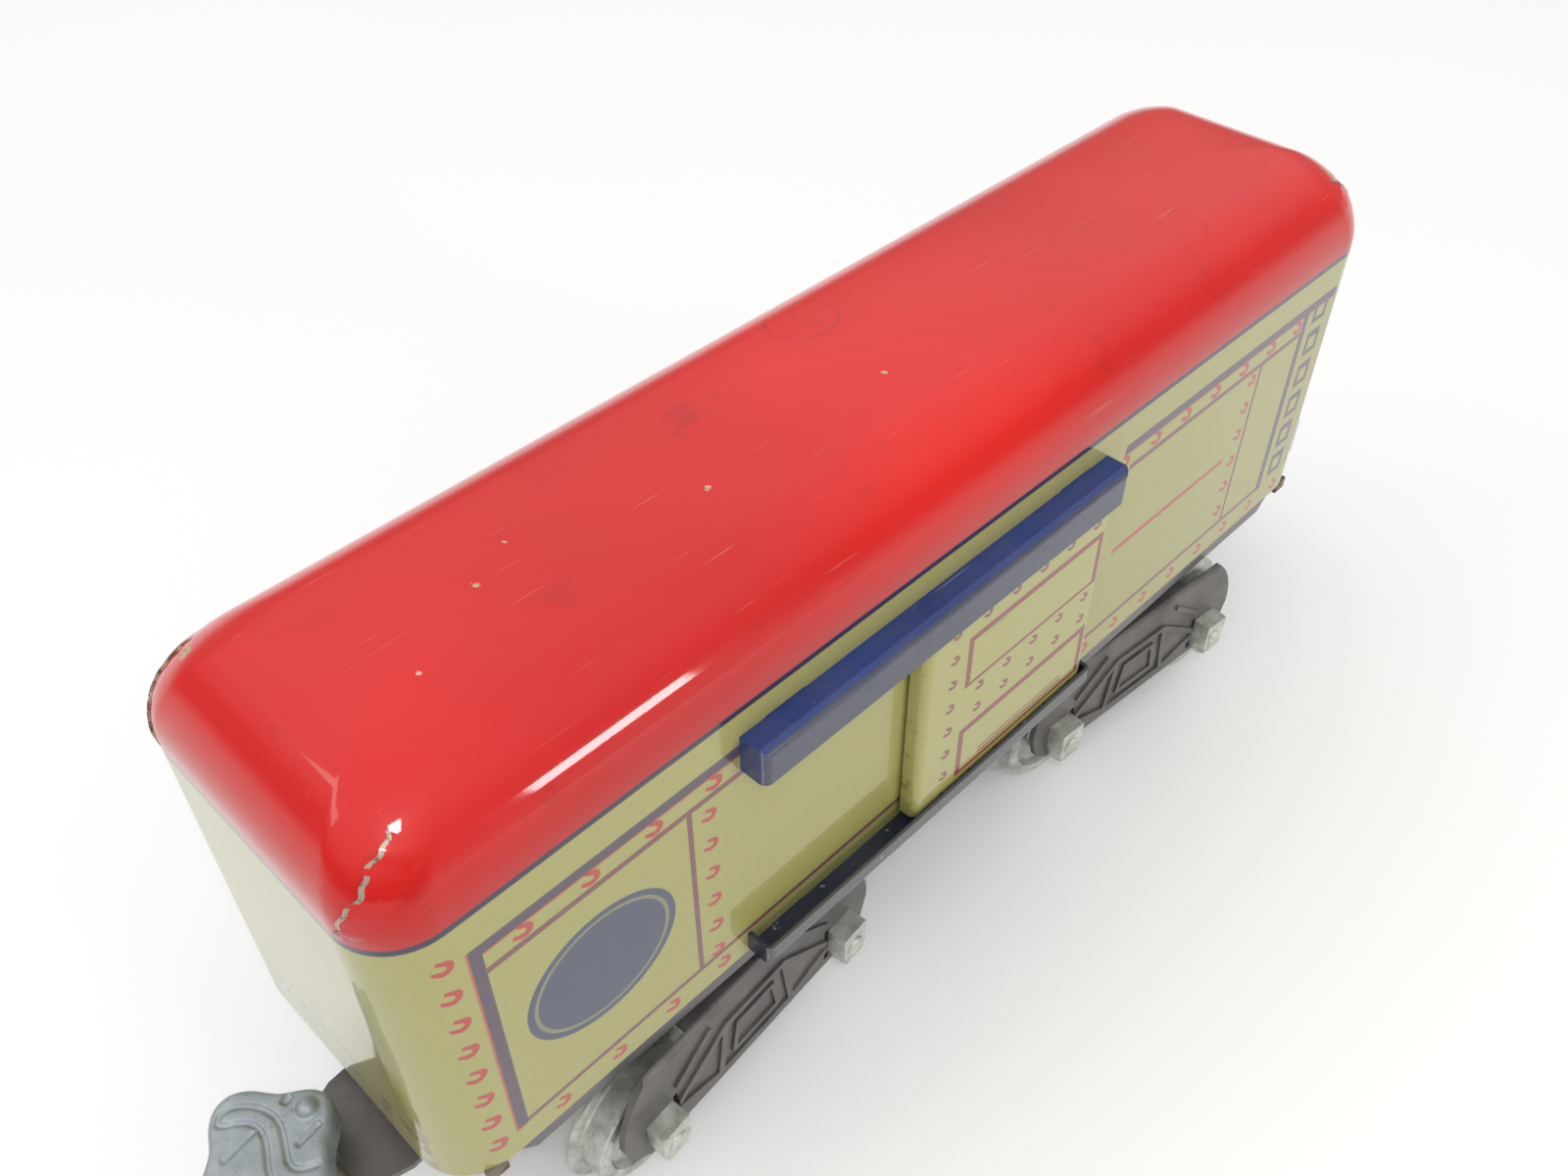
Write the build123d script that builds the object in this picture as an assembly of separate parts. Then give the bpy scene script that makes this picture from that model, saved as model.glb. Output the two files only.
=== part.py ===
from build123d import *
import os
from math import atan2, degrees, hypot

# Tinplate O gauge box car on two four-wheel trucks. Millimetres, +Z up.
# Origin: the middle of the car, on the surface that the wheel flanges stand on.
# -X is the front end, and -Y is the left side.

# ---- car body -------------------------------------------------------------
sheet = 0.5                    # tinplate of the body, rails and doors
body_length = 152.4
body_width = 38.1
body_corner_radius = 6.3
wall_height = 38.8             # bottom edge up to the printed eave line
roof_rise = 11.5               # eave line up to the ridge
crown_drop = 2.2               # fall of the arched roof from ridge to eave
eave_radius = 9.0
end_roof_radius = 9.5
tab_width = 2.4                # folded tabs that grip the underframe
tab_height = 1.5
tab_thickness = 0.9
tab_frame_gap = 0.9            # tab clear of the underframe's end

# ---- underframe -----------------------------------------------------------
frame_sheet = 0.8
frame_end_setback = 6.7        # underframe shorter than the body at each end
frame_flange_drop = 3.1        # flange below the body's bottom edge
frame_end_chamfer = 2.6
frame_plate_lift = 0.3         # plate's top above the body's bottom edge
frame_side_gap = 0.1           # between the flange and the inside of the body
frame_rib_width = 3.0
frame_rib_height = 0.8
frame_rib_inset = 9.0          # from the pivot towards the middle of the car

# ---- door rails and doors (left side; the right side is turned half round) --
rail_left_end = -38.4          # from the middle of the car
rail_length = 57.0
rail_depth = 3.3
upper_rail_below_eave = 3.8    # web face below the printed eave line
upper_rail_height = 4.6
lower_rail_web = 0.5
lower_rail_height = 2.8
rail_bend_radius = 1.0
rail_tab_length = 5.0
rail_tab_reach = 1.2           # past the inside of the wall
rail_tab_inset = 6.0           # from each rail end to the middle of its tab
rail_tab_gap = 0.1
door_gap = 0.3                 # door to wall, flange, webs and rail ends
door_width = 32.2
door_bend_radius = 1.3
door_hole_overlap_x = 3.0      # door past the wall's opening on each side
door_hole_overlap_z = 2.4

# ---- wheels and axles -----------------------------------------------------
tread_radius = 8.0
tread_taper = 0.2
flange_radius = 9.3
flange_width = 1.0
wheel_width = 4.0
wheel_hub_radius = 3.2
wheel_rim = 1.5
wheel_recess = 0.9
back_to_back = 27.2
axle_radius = 1.2
axle_fit = 0.06                # radial clearance in the side frames and journals
press_gap = 0.01               # wheel on axle, pin in its holes
axle_end_gap = 0.2

# ---- trucks ---------------------------------------------------------------
truck_from_end = 36.7          # pivot in from the end of the body
truck_yaw = 5.0                # both outer ends stand towards the left side
wheelbase = 31.5
side_frame_spacing = 38.1      # over the outer faces
side_frame_sheet = 0.8
truck_rise = 11.9              # axle up to the top of the truck plate
side_frame_drop = 3.4          # axle down to the bottom edge of the side frame
side_frame_end_past_axle = 5.4
side_frame_shoulder = 4.15     # end of the flat top, in from the tip
side_frame_foot = 3.75         # end of the flat bottom, in from the tip
side_frame_tip_above = 2.5     # tip above the axle
side_frame_toe_below = 1.0     # lower corner of the end, below the axle and in from the tip
bolster_length = 20.0
truck_bend_radius = 0.7
emboss_height = 0.35
emboss_width = 0.9
emboss_axle_gap = 0.8          # bars clear of the journal boxes
emboss_upper = 7.2             # outer bars above and below the axle
emboss_lower = 1.6
emboss_upper_half = 5.0
emboss_lower_half = 6.2
emboss_step = 2.0              # inner bars inside the outer ones
journal_slot_width = 0.8

# ---- journal boxes --------------------------------------------------------
journal_width = 4.1
journal_depth = 2.5
journal_above_axle = 3.0
journal_below_axle = 3.3
journal_foot_width = 2.6
journal_bore_depth = 1.7
journal_lid_radius = 1.3
journal_lid_height = 0.3

# ---- truck pivot ----------------------------------------------------------
spacer_height = 4.0
spacer_radius = 4.2
pivot_radius = 1.6
pivot_fit = 0.05
pivot_head_radius = 3.0
pivot_head_height = 0.9
pivot_play = 0.1               # up and down, above and below the truck plate

# ---- drawbar and coupler --------------------------------------------------
drawbar_sheet = 0.8
drawbar_width = 13.6
drawbar_inner_end = 6.0        # past the pivot towards the middle of the car
drawbar_nose_width = 8.0
drawbar_taper = 6.0            # start of the taper, before the coupler pin
drawbar_rivet_radius = 0.9
drawbar_rivet_head = 1.7
drawbar_rivet_rise = 0.7
drawbar_rivet_from_pivot = 6.6
lug_thickness = 1.6
lug_length = 3.6
lug_round = 1.2
coupler_pin_past_end = 6.9     # pin past the end of the body, with the truck straight
coupler_pin_below_lug = 1.7    # pin centre below the top of the drawbar's lug
coupler_pin_radius = 0.8
coupler_pin_inset = 1.4        # pin's ends inside the head's sides
coupler_rear = 3.4             # head behind the pin
coupler_length = 14.6
coupler_width = 17.6
coupler_offset = 1.0           # head's middle to one side of the drawbar's
coupler_height = 5.8
coupler_scallop_depth = 1.0
coupler_roof = 1.8
coupler_wall = 2.0
coupler_boss_radius = 1.9
coupler_throat_half = 3.2
coupler_throat_height = 2.6
coupler_edge_round = 0.6
coupler_stud_radius = 1.0
coupler_seat_gap = 0.2
coupler_lug_gap = 0.4
coupler_groove_depth = 0.45
coupler_groove_width = 0.7

# ---- places worked out from the sizes above -------------------------------
axle_height = flange_radius
truck_top = axle_height + truck_rise
frame_under = truck_top + pivot_play + spacer_height
frame_top = frame_under + frame_sheet
body_bottom = frame_top - frame_plate_lift
half_width = body_width / 2
half_length = body_length / 2
frame_length = body_length - 2 * frame_end_setback
tab_from_middle = frame_length / 2 + tab_frame_gap + tab_width / 2
truck_from_middle = half_length - truck_from_end
upper_rail_web = wall_height - upper_rail_below_eave
ridge = body_bottom + wall_height + roof_rise

rail_right_end = rail_left_end + rail_length
door_right = rail_right_end - sheet - door_gap
door_left = door_right - door_width
door_outer = half_width + rail_depth - sheet - door_gap
door_inner = half_width + door_gap
door_bottom = body_bottom + lower_rail_web + sheet + door_gap
door_top = body_bottom + upper_rail_web - sheet - door_gap
door_travel = door_left - (rail_left_end + sheet + door_gap)
hole_left = door_left + door_hole_overlap_x
hole_right = door_right - door_hole_overlap_x
hole_bottom = door_bottom + door_hole_overlap_z
hole_top = door_top - door_hole_overlap_z

side_frame_outer = side_frame_spacing / 2
side_frame_inner = side_frame_outer - side_frame_sheet
wheel_inner = back_to_back / 2
wheel_outer = wheel_inner + wheel_width
axle_hole = axle_radius + axle_fit
axle_end = side_frame_outer + journal_bore_depth - axle_end_gap
drawbar_top = truck_top - side_frame_sheet
drawbar_bottom = drawbar_top - drawbar_sheet
pin_x = -(truck_from_end + coupler_pin_past_end)
coupler_bottom = drawbar_top + coupler_seat_gap
coupler_top = coupler_bottom + coupler_height
coupler_back_x = pin_x + coupler_rear
lug_top = coupler_top - coupler_roof - coupler_lug_gap
pin_z = lug_top - coupler_pin_below_lug
coupler_front_x = coupler_back_x - coupler_length


def block(low, high):
    """Box between two corners."""
    size = [b - a for a, b in zip(low, high)]
    return Pos(*low) * Box(*size, align=(Align.MIN, Align.MIN, Align.MIN))


def rod(start, end, radius):
    """Cylinder from one point to another."""
    along = Vector(*end) - Vector(*start)
    return Plane(origin=start, z_dir=along) * Cylinder(
        radius, along.length, align=(Align.CENTER, Align.CENTER, Align.MIN))


def half_turn(shape):
    return Rot(0, 0, 180) * shape


def at_truck(shape, end):
    """Place a piece drawn about a pivot at x = 0, outer end towards -X; end is -1 front or +1 rear."""
    turn = truck_yaw if end < 0 else 180 - truck_yaw
    return Pos(end * truck_from_middle, 0, 0) * Rot(0, 0, turn) * shape


# ---- body shell -----------------------------------------------------------

def body_block(inset, low):
    """The body's outside, drawn in by inset, from the height low up to the roof."""
    wide = half_width - inset
    long = half_length - inset
    top = ridge - inset
    eave = top - crown_drop
    plan = RectangleRounded(2 * long, 2 * wide, body_corner_radius - inset)
    prism = extrude(Pos(0, 0, low) * plan, top - low)
    sides = Polyline((-wide, eave), (-wide, low), (wide, low), (wide, eave))
    arch = make_face(sides + ThreePointArc((wide, eave), (0, top), (-wide, eave)))
    arch = fillet(arch.vertices().filter_by(lambda v: v.Y > low + 1), eave_radius - inset)
    across = extrude(Plane.YZ * arch, long + 1, both=True)
    end_view = Pos(0, (low + top) / 2) * Rectangle(2 * long, top - low)
    end_view = fillet(end_view.vertices().group_by(Axis.Y)[-1], end_roof_radius - inset)
    along = extrude(Plane.XZ * end_view, wide + 1, both=True)
    return prism & across & along


def rail_tabs(web_low, gap):
    """The rails' tabs through the wall, or with a gap their slots."""
    tabs = []
    for middle in (rail_left_end + rail_tab_inset, rail_right_end - rail_tab_inset):
        half = rail_tab_length / 2 + gap
        tabs.append(block((middle - half, -half_width - gap, web_low - gap),
                          (middle + half, -half_width + sheet + rail_tab_reach, web_low + sheet + gap)))
    return tabs


upper_web_low = body_bottom + upper_rail_web - sheet
lower_web_low = body_bottom + lower_rail_web


def body_shell():
    shell = body_block(0, body_bottom) - body_block(sheet, body_bottom - 1)
    hole = block((hole_left, -half_width - 1, hole_bottom), (hole_right, -half_width + sheet + 1, hole_top))
    hole = fillet(hole.edges().filter_by(Axis.Y), 1.0)
    cuts = [hole] + rail_tabs(upper_web_low, rail_tab_gap) + rail_tabs(lower_web_low, rail_tab_gap)
    for cut in cuts:
        shell = shell - cut - half_turn(cut)
    for x in (-tab_from_middle, tab_from_middle):
        outer = half_width - sheet + tab_thickness / 2
        tab = block((x - tab_width / 2, -outer, body_bottom - tab_height),
                    (x + tab_width / 2, -outer + tab_thickness, body_bottom + tab_height))
        shell = shell + tab + half_turn(tab)
    return shell


# ---- underframe -----------------------------------------------------------

def underframe():
    outer = half_width - sheet - frame_side_gap
    inner = outer - frame_sheet
    half = frame_length / 2
    low = body_bottom - frame_flange_drop
    tray = block((-half, -outer, low), (half, outer, frame_top))
    ends = tray.edges().filter_by(Axis.Y).group_by(Axis.Z)[0]
    tray = chamfer(ends, frame_end_chamfer)
    tray = tray - block((-half - 1, -inner, low - 1), (half + 1, inner, frame_under))
    tray = fillet(tray.edges().filter_by(Axis.X).group_by(Axis.Z)[-1], frame_sheet * 0.7)
    for end in (-1, 1):
        pivot = end * truck_from_middle
        tray = tray - rod((pivot, 0, frame_under - 1), (pivot, 0, frame_top + 1), pivot_radius + pivot_fit)
        rib = pivot - end * frame_rib_inset
        tray = tray + block((rib - frame_rib_width / 2, -inner, frame_under - frame_rib_height),
                            (rib + frame_rib_width / 2, inner, frame_under))
    return tray


# ---- door rails and doors -------------------------------------------------

def door_rail(low, high, web_low, web_at_top):
    """Tray of sheet, open to the wall and away from its web."""
    outer = half_width + rail_depth
    tray = block((rail_left_end, -outer, low), (rail_right_end, -half_width, high))
    web_side = -1 if web_at_top else 0
    long_edge = tray.edges().filter_by(Axis.X).group_by(Axis.Y)[0].sort_by(Axis.Z)[web_side]
    corners = tray.edges().filter_by(Axis.Z).group_by(Axis.Y)[0]
    tray = fillet([long_edge] + list(corners), rail_bend_radius)
    hollow_low = low - 1 if web_at_top else low + sheet
    hollow_high = high - sheet if web_at_top else high + 1
    hollow = block((rail_left_end + sheet, -outer + sheet, hollow_low),
                   (rail_right_end - sheet, -half_width + 1, hollow_high))
    bend = rail_bend_radius - sheet
    hollow = fillet(hollow.edges().filter_by(Axis.Z).group_by(Axis.Y)[0], bend)
    tray = tray - hollow
    for tab in rail_tabs(web_low, 0):
        tray = tray + tab
    return tray


def upper_rail():
    high = body_bottom + upper_rail_web
    return door_rail(high - upper_rail_height, high, upper_web_low, True)


def lower_rail():
    return door_rail(lower_web_low, lower_web_low + lower_rail_height, lower_web_low, False)


def door():
    """Pillow-pressed panel, hollow behind."""
    panel = block((door_left, -door_outer, door_bottom), (door_right, -door_inner, door_top))
    panel = fillet(panel.edges().filter_by(Axis.Y), door_bend_radius)
    panel = fillet(panel.faces().sort_by(Axis.Y)[0].edges(), door_bend_radius)
    hollow = block((door_left + sheet, -door_outer + sheet, door_bottom + sheet),
                   (door_right - sheet, -door_inner + 1, door_top - sheet))
    inside = door_bend_radius - sheet
    hollow = fillet(hollow.edges().filter_by(Axis.Y), inside)
    hollow = fillet(hollow.faces().sort_by(Axis.Y)[0].edges(), inside)
    return panel - hollow


# ---- wheels, axles and journals, about the pivot at x = 0 -------------------

def wheel(x, side):
    """Flanged wheel with a recessed face on both sides; side is -1 left or +1 right."""
    tread_edge = wheel_inner + flange_width
    rim = tread_radius - tread_taper - wheel_rim
    back = wheel_inner + wheel_recess
    face = wheel_outer - wheel_recess
    bore = axle_radius + press_gap
    points = [
        (bore, wheel_inner), (wheel_hub_radius, wheel_inner),
        (wheel_hub_radius + wheel_recess / 2, back), (rim - wheel_recess / 2, back),
        (rim, wheel_inner), (flange_radius - flange_width / 3, wheel_inner),
        (flange_radius, wheel_inner + flange_width / 3), (flange_radius, wheel_inner + flange_width * 2 / 3),
        (tread_radius + flange_width / 4, tread_edge), (tread_radius, tread_edge + flange_width / 4),
        (tread_radius - tread_taper, wheel_outer - flange_width / 4),
        (tread_radius - tread_taper - flange_width / 4, wheel_outer),
        (rim, wheel_outer), (rim - wheel_recess / 2, face),
        (wheel_hub_radius + wheel_recess / 2, face), (wheel_hub_radius, wheel_outer), (bore, wheel_outer),
    ]
    profile = make_face(Polyline(*points, close=True))
    disc = revolve(Plane.XY * profile, Axis.Y)
    if side < 0:
        disc = half_turn(disc)
    return Pos(x, 0, axle_height) * disc


def axle(x):
    shaft = rod((x, -axle_end, axle_height), (x, axle_end, axle_height), axle_radius)
    return chamfer(shaft.edges(), axle_radius / 4)


def journal_box(x, side):
    """Cast box with a blind bore, a tapered foot and a round lid."""
    top = axle_height + journal_above_axle
    low = axle_height - journal_below_axle
    half = journal_width / 2
    foot = journal_foot_width / 2
    outline = Polyline((-half, top), (-half, axle_height - 0.8), (-foot, low), (foot, low),
                       (half, axle_height - 0.8), (half, top), close=True)
    box = extrude(Plane.XZ * make_face(outline), journal_depth)
    front_low = box.edges().group_by(Axis.Y)[0].group_by(Axis.Z)[0]
    box = chamfer(front_low, journal_depth * 0.55, journal_depth * 0.4)
    lid = rod((0, -journal_depth + 0.2, axle_height), (0, -journal_depth - journal_lid_height, axle_height),
              journal_lid_radius)
    lid = fillet(lid.edges().group_by(Axis.Y)[0], journal_lid_height * 0.9)
    bore = rod((0, 1, axle_height), (0, -journal_bore_depth, axle_height), axle_hole)
    box = Pos(0, -side_frame_outer, 0) * (box + lid - bore)
    if side > 0:
        box = half_turn(box)
    return Pos(x, 0, 0) * box


# ---- truck frame ----------------------------------------------------------

def strip(start, end, width):
    """Flat strip with round ends between two points of a sketch."""
    along = (end[0] - start[0], end[1] - start[1])
    length = hypot(*along)
    middle = ((start[0] + end[0]) / 2, (start[1] + end[1]) / 2)
    return Pos(*middle) * Rot(0, 0, degrees(atan2(along[1], along[0]))) * SlotCenterToCenter(length, width)


def side_frame_outline():
    """One half, mirrored: flat top, rounded shoulder, end past the axle, flat bottom."""
    low = axle_height - side_frame_drop
    tip = wheelbase / 2 + side_frame_end_past_axle
    top_corner = (tip - side_frame_shoulder, truck_top)
    tip_corner = (tip, axle_height + side_frame_tip_above)
    bulge = (tip - side_frame_shoulder * 0.29, axle_height + truck_rise * 0.65)
    shoulder = ThreePointArc(top_corner, bulge, tip_corner)
    foot = Polyline(tip_corner, (tip - side_frame_toe_below, axle_height - side_frame_toe_below),
                    (tip - side_frame_foot, low), (0, low), (0, truck_top), top_corner)
    face = make_face(shoulder + foot)
    return face + mirror(face, Plane.YZ)


def arch_bars():
    """Pressed-out bars on the side frame's face: a trapezoid in another, and braces to the axles."""
    reach = wheelbase / 2 - journal_width / 2 - emboss_axle_gap
    upper = axle_height + emboss_upper
    lower = axle_height - emboss_lower
    inner_upper = upper - emboss_step
    inner_lower = lower + emboss_step
    inner_upper_half = emboss_upper_half - emboss_step
    inner_lower_half = emboss_lower_half - emboss_step * 1.2
    thin = emboss_width * 0.8
    bars = [
        strip((-emboss_upper_half, upper), (emboss_upper_half, upper), emboss_width),
        strip((-emboss_lower_half, lower), (emboss_lower_half, lower), emboss_width),
        strip((-inner_upper_half, inner_upper), (inner_upper_half, inner_upper), thin),
        strip((-inner_lower_half, inner_lower), (inner_lower_half, inner_lower), thin),
    ]
    for s in (-1, 1):
        bars += [
            strip((s * reach, axle_height + emboss_lower), (s * emboss_upper_half, upper), emboss_width),
            strip((s * reach, axle_height + emboss_lower / 4), (s * emboss_lower_half, lower), emboss_width),
            strip((s * emboss_upper_half, upper), (s * emboss_lower_half, lower), emboss_width),
            strip((s * inner_upper_half, inner_upper), (s * inner_lower_half, inner_lower), thin),
            strip((s * reach, axle_height + 3 * emboss_lower + 0.6), (s * (emboss_upper_half + 2.6),
                                                                     truck_top - 2.4), thin),
        ]
    return bars


def truck_frame():
    """Top plate and two side frames, bent from one sheet."""
    plate = block((-bolster_length / 2, -side_frame_outer, truck_top - side_frame_sheet),
                  (bolster_length / 2, side_frame_outer, truck_top))
    side = extrude(Plane.XZ * side_frame_outline(), side_frame_sheet)
    side = Pos(0, -side_frame_inner, 0) * side
    raised = Sketch() + arch_bars()
    raised = Pos(0, -side_frame_outer + 0.1, 0) * extrude(Plane.XZ * raised, emboss_height + 0.1)
    side = side + raised
    for s in (-1, 1):
        axle_x = s * wheelbase / 2
        side = side - rod((axle_x, -side_frame_outer - 2, axle_height), (axle_x, 0, axle_height), axle_hole)
        slot_x = axle_x - s * (journal_width / 2 + journal_slot_width / 2)
        for low, high in ((0.9, 3.6), (-2.4, -1.2)):
            side = side - block((slot_x - journal_slot_width / 2, -side_frame_outer - 2, axle_height + low),
                                (slot_x + journal_slot_width / 2, 0, axle_height + high))
    frame = plate + side + half_turn(side)
    bends = frame.edges().filter_by(Axis.X).group_by(Axis.Z)[-1]
    bends = bends.filter_by(lambda e: abs(e.center().Y) > side_frame_outer - 0.01)
    frame = fillet(bends, truck_bend_radius)
    frame = frame - rod((0, 0, 0), (0, 0, truck_top + 1), pivot_radius + pivot_fit)
    rivet_x = -drawbar_rivet_from_pivot
    return frame - rod((rivet_x, 0, 0), (rivet_x, 0, truck_top + 1), drawbar_rivet_radius + press_gap)


# ---- truck pivot ----------------------------------------------------------

def pivot_spacer():
    ring = rod((0, 0, truck_top + pivot_play), (0, 0, frame_under), spacer_radius)
    return ring - rod((0, 0, 0), (0, 0, frame_top), pivot_radius + pivot_fit)


def pivot_rivet():
    head_top = drawbar_bottom - pivot_play
    clench_top = frame_top + pivot_head_height
    shank = rod((0, 0, head_top), (0, 0, clench_top), pivot_radius)
    head = rod((0, 0, head_top - pivot_head_height), (0, 0, head_top), pivot_head_radius)
    head = fillet(head.edges().group_by(Axis.Z)[0], pivot_head_height * 0.7)
    clench = rod((0, 0, frame_top), (0, 0, clench_top), pivot_head_radius)
    clench = fillet(clench.edges().group_by(Axis.Z)[-1], pivot_head_height * 0.7)
    return shank + head + clench


# ---- drawbar and coupler --------------------------------------------------

def drawbar():
    """Flat strip under the truck plate, with a lug for the coupler pin."""
    half = drawbar_width / 2
    nose = pin_x - lug_length / 2
    outline = Polyline((drawbar_inner_end, -half), (drawbar_inner_end, half), (pin_x + drawbar_taper, half),
                       (nose, drawbar_nose_width / 2), (nose, -drawbar_nose_width / 2),
                       (pin_x + drawbar_taper, -half), close=True)
    bar = extrude(Pos(0, 0, drawbar_bottom) * make_face(outline), drawbar_sheet)
    lug = block((nose, -lug_thickness / 2, drawbar_top - 0.1),
                (nose + lug_length, lug_thickness / 2, lug_top))
    lug = fillet(lug.edges().filter_by(Axis.Y).group_by(Axis.Z)[-1], lug_round)
    bar = bar + lug
    bar = bar - rod((pin_x, -half, pin_z), (pin_x, half, pin_z), coupler_pin_radius + press_gap)
    bar = bar - rod((0, 0, 0), (0, 0, truck_top), pivot_radius + pivot_fit)
    rivet_x = -drawbar_rivet_from_pivot
    return bar - rod((rivet_x, 0, 0), (rivet_x, 0, truck_top), drawbar_rivet_radius + press_gap)


def drawbar_rivet():
    x = -drawbar_rivet_from_pivot
    shank = rod((x, 0, drawbar_bottom), (x, 0, truck_top), drawbar_rivet_radius)
    low = rod((x, 0, drawbar_bottom - drawbar_rivet_rise), (x, 0, drawbar_bottom), drawbar_rivet_head)
    low = fillet(low.edges().group_by(Axis.Z)[0], drawbar_rivet_rise * 5 / 7)
    high = rod((x, 0, truck_top), (x, 0, truck_top + drawbar_rivet_rise), drawbar_rivet_head)
    high = fillet(high.edges().group_by(Axis.Z)[-1], drawbar_rivet_rise * 5 / 7)
    return shank + low + high


def coupler_pin():
    half = coupler_width / 2 - coupler_pin_inset
    return rod((pin_x, -half, pin_z), (pin_x, half, pin_z), coupler_pin_radius)


def coupler_outline():
    """Closed curve with a lobe at each corner and a shallow scallop in each side."""
    long = coupler_length / 2
    wide = coupler_width / 2
    dip = coupler_scallop_depth
    points = [
        (-long + dip, 0.4), (-long, 4.8), (-long + 2.6, wide - 0.3), (0.2, wide - dip),
        (long - 2.8, wide - 0.2), (long, wide - 3.4), (long - dip, -0.2), (long, -wide + 4.4),
        (long - 2.6, -wide + 0.3), (-0.4, -wide + dip), (-long + 2.8, -wide + 0.2), (-long, -wide + 3.4),
    ]
    middle = Pos((coupler_back_x + coupler_front_x) / 2, coupler_offset)
    return middle * make_face(Spline(*points, periodic=True))


def coupler_grooves():
    """The knuckle's outline on the top face: a hook, its return and two short ribs' grooves."""
    front = coupler_front_x
    hook = [(front + 2.6, 6.2), (front + 2.2, 3.2), (front + 3.6, 0.6), (front + 6.4, -0.6),
            (front + 8.4, -2.6), (front + 8.2, -5.2)]
    inner = [(front + 6.6, 3.0), (front + 8.2, 1.2), (front + 8.2, -1.0)]
    tongue = [(front + 6.6, 3.0), (front + 1.6, -3.6)]
    ribs = [[(front + 9.6, 5.6), (front + 11.4, 6.2)], [(front + 11.2, -1.8), (front + 10.4, -5.0)]]
    groove = Sketch()
    for line in [hook, inner, tongue] + ribs:
        for start, end in zip(line, line[1:]):
            groove = groove + strip(start, end, coupler_groove_width)
    low = coupler_top - coupler_groove_depth
    return extrude(Pos(0, 0, low) * groove, coupler_groove_depth + 1)


def coupler():
    """Die-cast knuckle head, hollow below, that tips up on its pin."""
    head = extrude(Pos(0, 0, coupler_bottom) * coupler_outline(), coupler_height)
    head = fillet(head.edges().group_by(Axis.Z)[-1], coupler_edge_round)
    inner_half = coupler_width / 2 - coupler_wall - coupler_scallop_depth
    hollow = block((coupler_front_x + coupler_wall + coupler_scallop_depth, -inner_half, coupler_bottom - 1),
                   (coupler_back_x - coupler_wall / 2, inner_half, coupler_top - coupler_roof))
    head = head - fillet(hollow.edges().filter_by(Axis.Z), 1.5)
    heel = block((pin_x + 0.4, -coupler_width, coupler_bottom - 1),
                 (coupler_back_x + 1, coupler_width, coupler_bottom + coupler_rear * 0.75))
    throat = block((coupler_front_x - 1, -coupler_throat_half, coupler_bottom - 1),
                   (coupler_front_x + coupler_wall + coupler_scallop_depth + 0.5, coupler_throat_half,
                    coupler_bottom + coupler_throat_height))
    head = head - heel - throat
    boss_start = lug_thickness / 2 + coupler_lug_gap
    boss = rod((pin_x, boss_start, pin_z), (pin_x, inner_half + 0.2, pin_z), coupler_boss_radius)
    boss_top = block((pin_x - coupler_boss_radius, boss_start, pin_z),
                     (pin_x + coupler_boss_radius, inner_half + 0.2, coupler_top - coupler_roof + 0.2))
    for cheek in (boss, boss_top):
        head = head + cheek + mirror(cheek, Plane.XZ)
    head = head - coupler_grooves()
    stud = Pos(coupler_front_x + 11.4, 1.9, coupler_top - 0.3) * Sphere(coupler_stud_radius)
    head = head + (stud - block((-99, -99, 0), (99, 99, coupler_top - 0.5)))
    floor = block((pin_x - coupler_rear, -coupler_width, drawbar_bottom),
                  (pin_x + coupler_rear, coupler_width, coupler_bottom))
    pin_hole = rod((pin_x, -coupler_width, pin_z), (pin_x, coupler_width, pin_z),
                   coupler_pin_radius + axle_fit)
    return head - floor - pin_hole


# ---- write one file per piece ---------------------------------------------

def all_pieces():
    pieces = {"body_shell": body_shell(), "underframe": underframe()}
    for name, shape in (("upper_rail", upper_rail()), ("lower_rail", lower_rail()), ("door", door())):
        pieces[name + "_left"] = shape
        pieces[name + "_right"] = half_turn(shape)
    bar_pieces = {"truck_frame": truck_frame(), "pivot_spacer": pivot_spacer(), "pivot_rivet": pivot_rivet(),
                  "drawbar": drawbar(), "drawbar_rivet": drawbar_rivet(), "coupler": coupler(),
                  "coupler_pin": coupler_pin()}
    for end_name, end in (("front", -1), ("rear", 1)):
        for name, shape in bar_pieces.items():
            pieces[f"{name}_{end_name}"] = at_truck(shape, end)
        for place, x in (("outer", -wheelbase / 2), ("inner", wheelbase / 2)):
            pieces[f"axle_{end_name}_{place}"] = at_truck(axle(x), end)
            for side_name, side in (("left", -1), ("right", 1)):
                drawn_side = side if end < 0 else -side
                tag = f"{end_name}_{place}_{side_name}"
                pieces["wheel_" + tag] = at_truck(wheel(x, drawn_side), end)
                pieces["journal_box_" + tag] = at_truck(journal_box(x, drawn_side), end)
    return pieces


os.makedirs("parts", exist_ok=True)
for node, shape in all_pieces().items():
    export_step(shape, f"parts/{node}.step")
print("door travel", round(door_travel, 2), "mm; roof ridge", round(ridge, 2), "mm above the rail")
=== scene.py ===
import math
import bpy
from mathutils import Matrix, Vector


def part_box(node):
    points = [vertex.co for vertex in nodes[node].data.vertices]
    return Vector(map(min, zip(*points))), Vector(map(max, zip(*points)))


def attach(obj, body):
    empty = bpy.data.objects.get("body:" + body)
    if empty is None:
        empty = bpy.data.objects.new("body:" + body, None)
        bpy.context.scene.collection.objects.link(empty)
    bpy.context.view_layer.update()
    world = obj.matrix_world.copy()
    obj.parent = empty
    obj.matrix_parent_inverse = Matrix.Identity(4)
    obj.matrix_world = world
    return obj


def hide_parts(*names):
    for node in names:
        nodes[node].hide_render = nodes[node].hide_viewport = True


# Tinplate box car: litho-printed body, enamelled rails and frame, stamped trucks, zinc castings.
# Lengths in the finishes are millimetres; the model is in metres.

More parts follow.
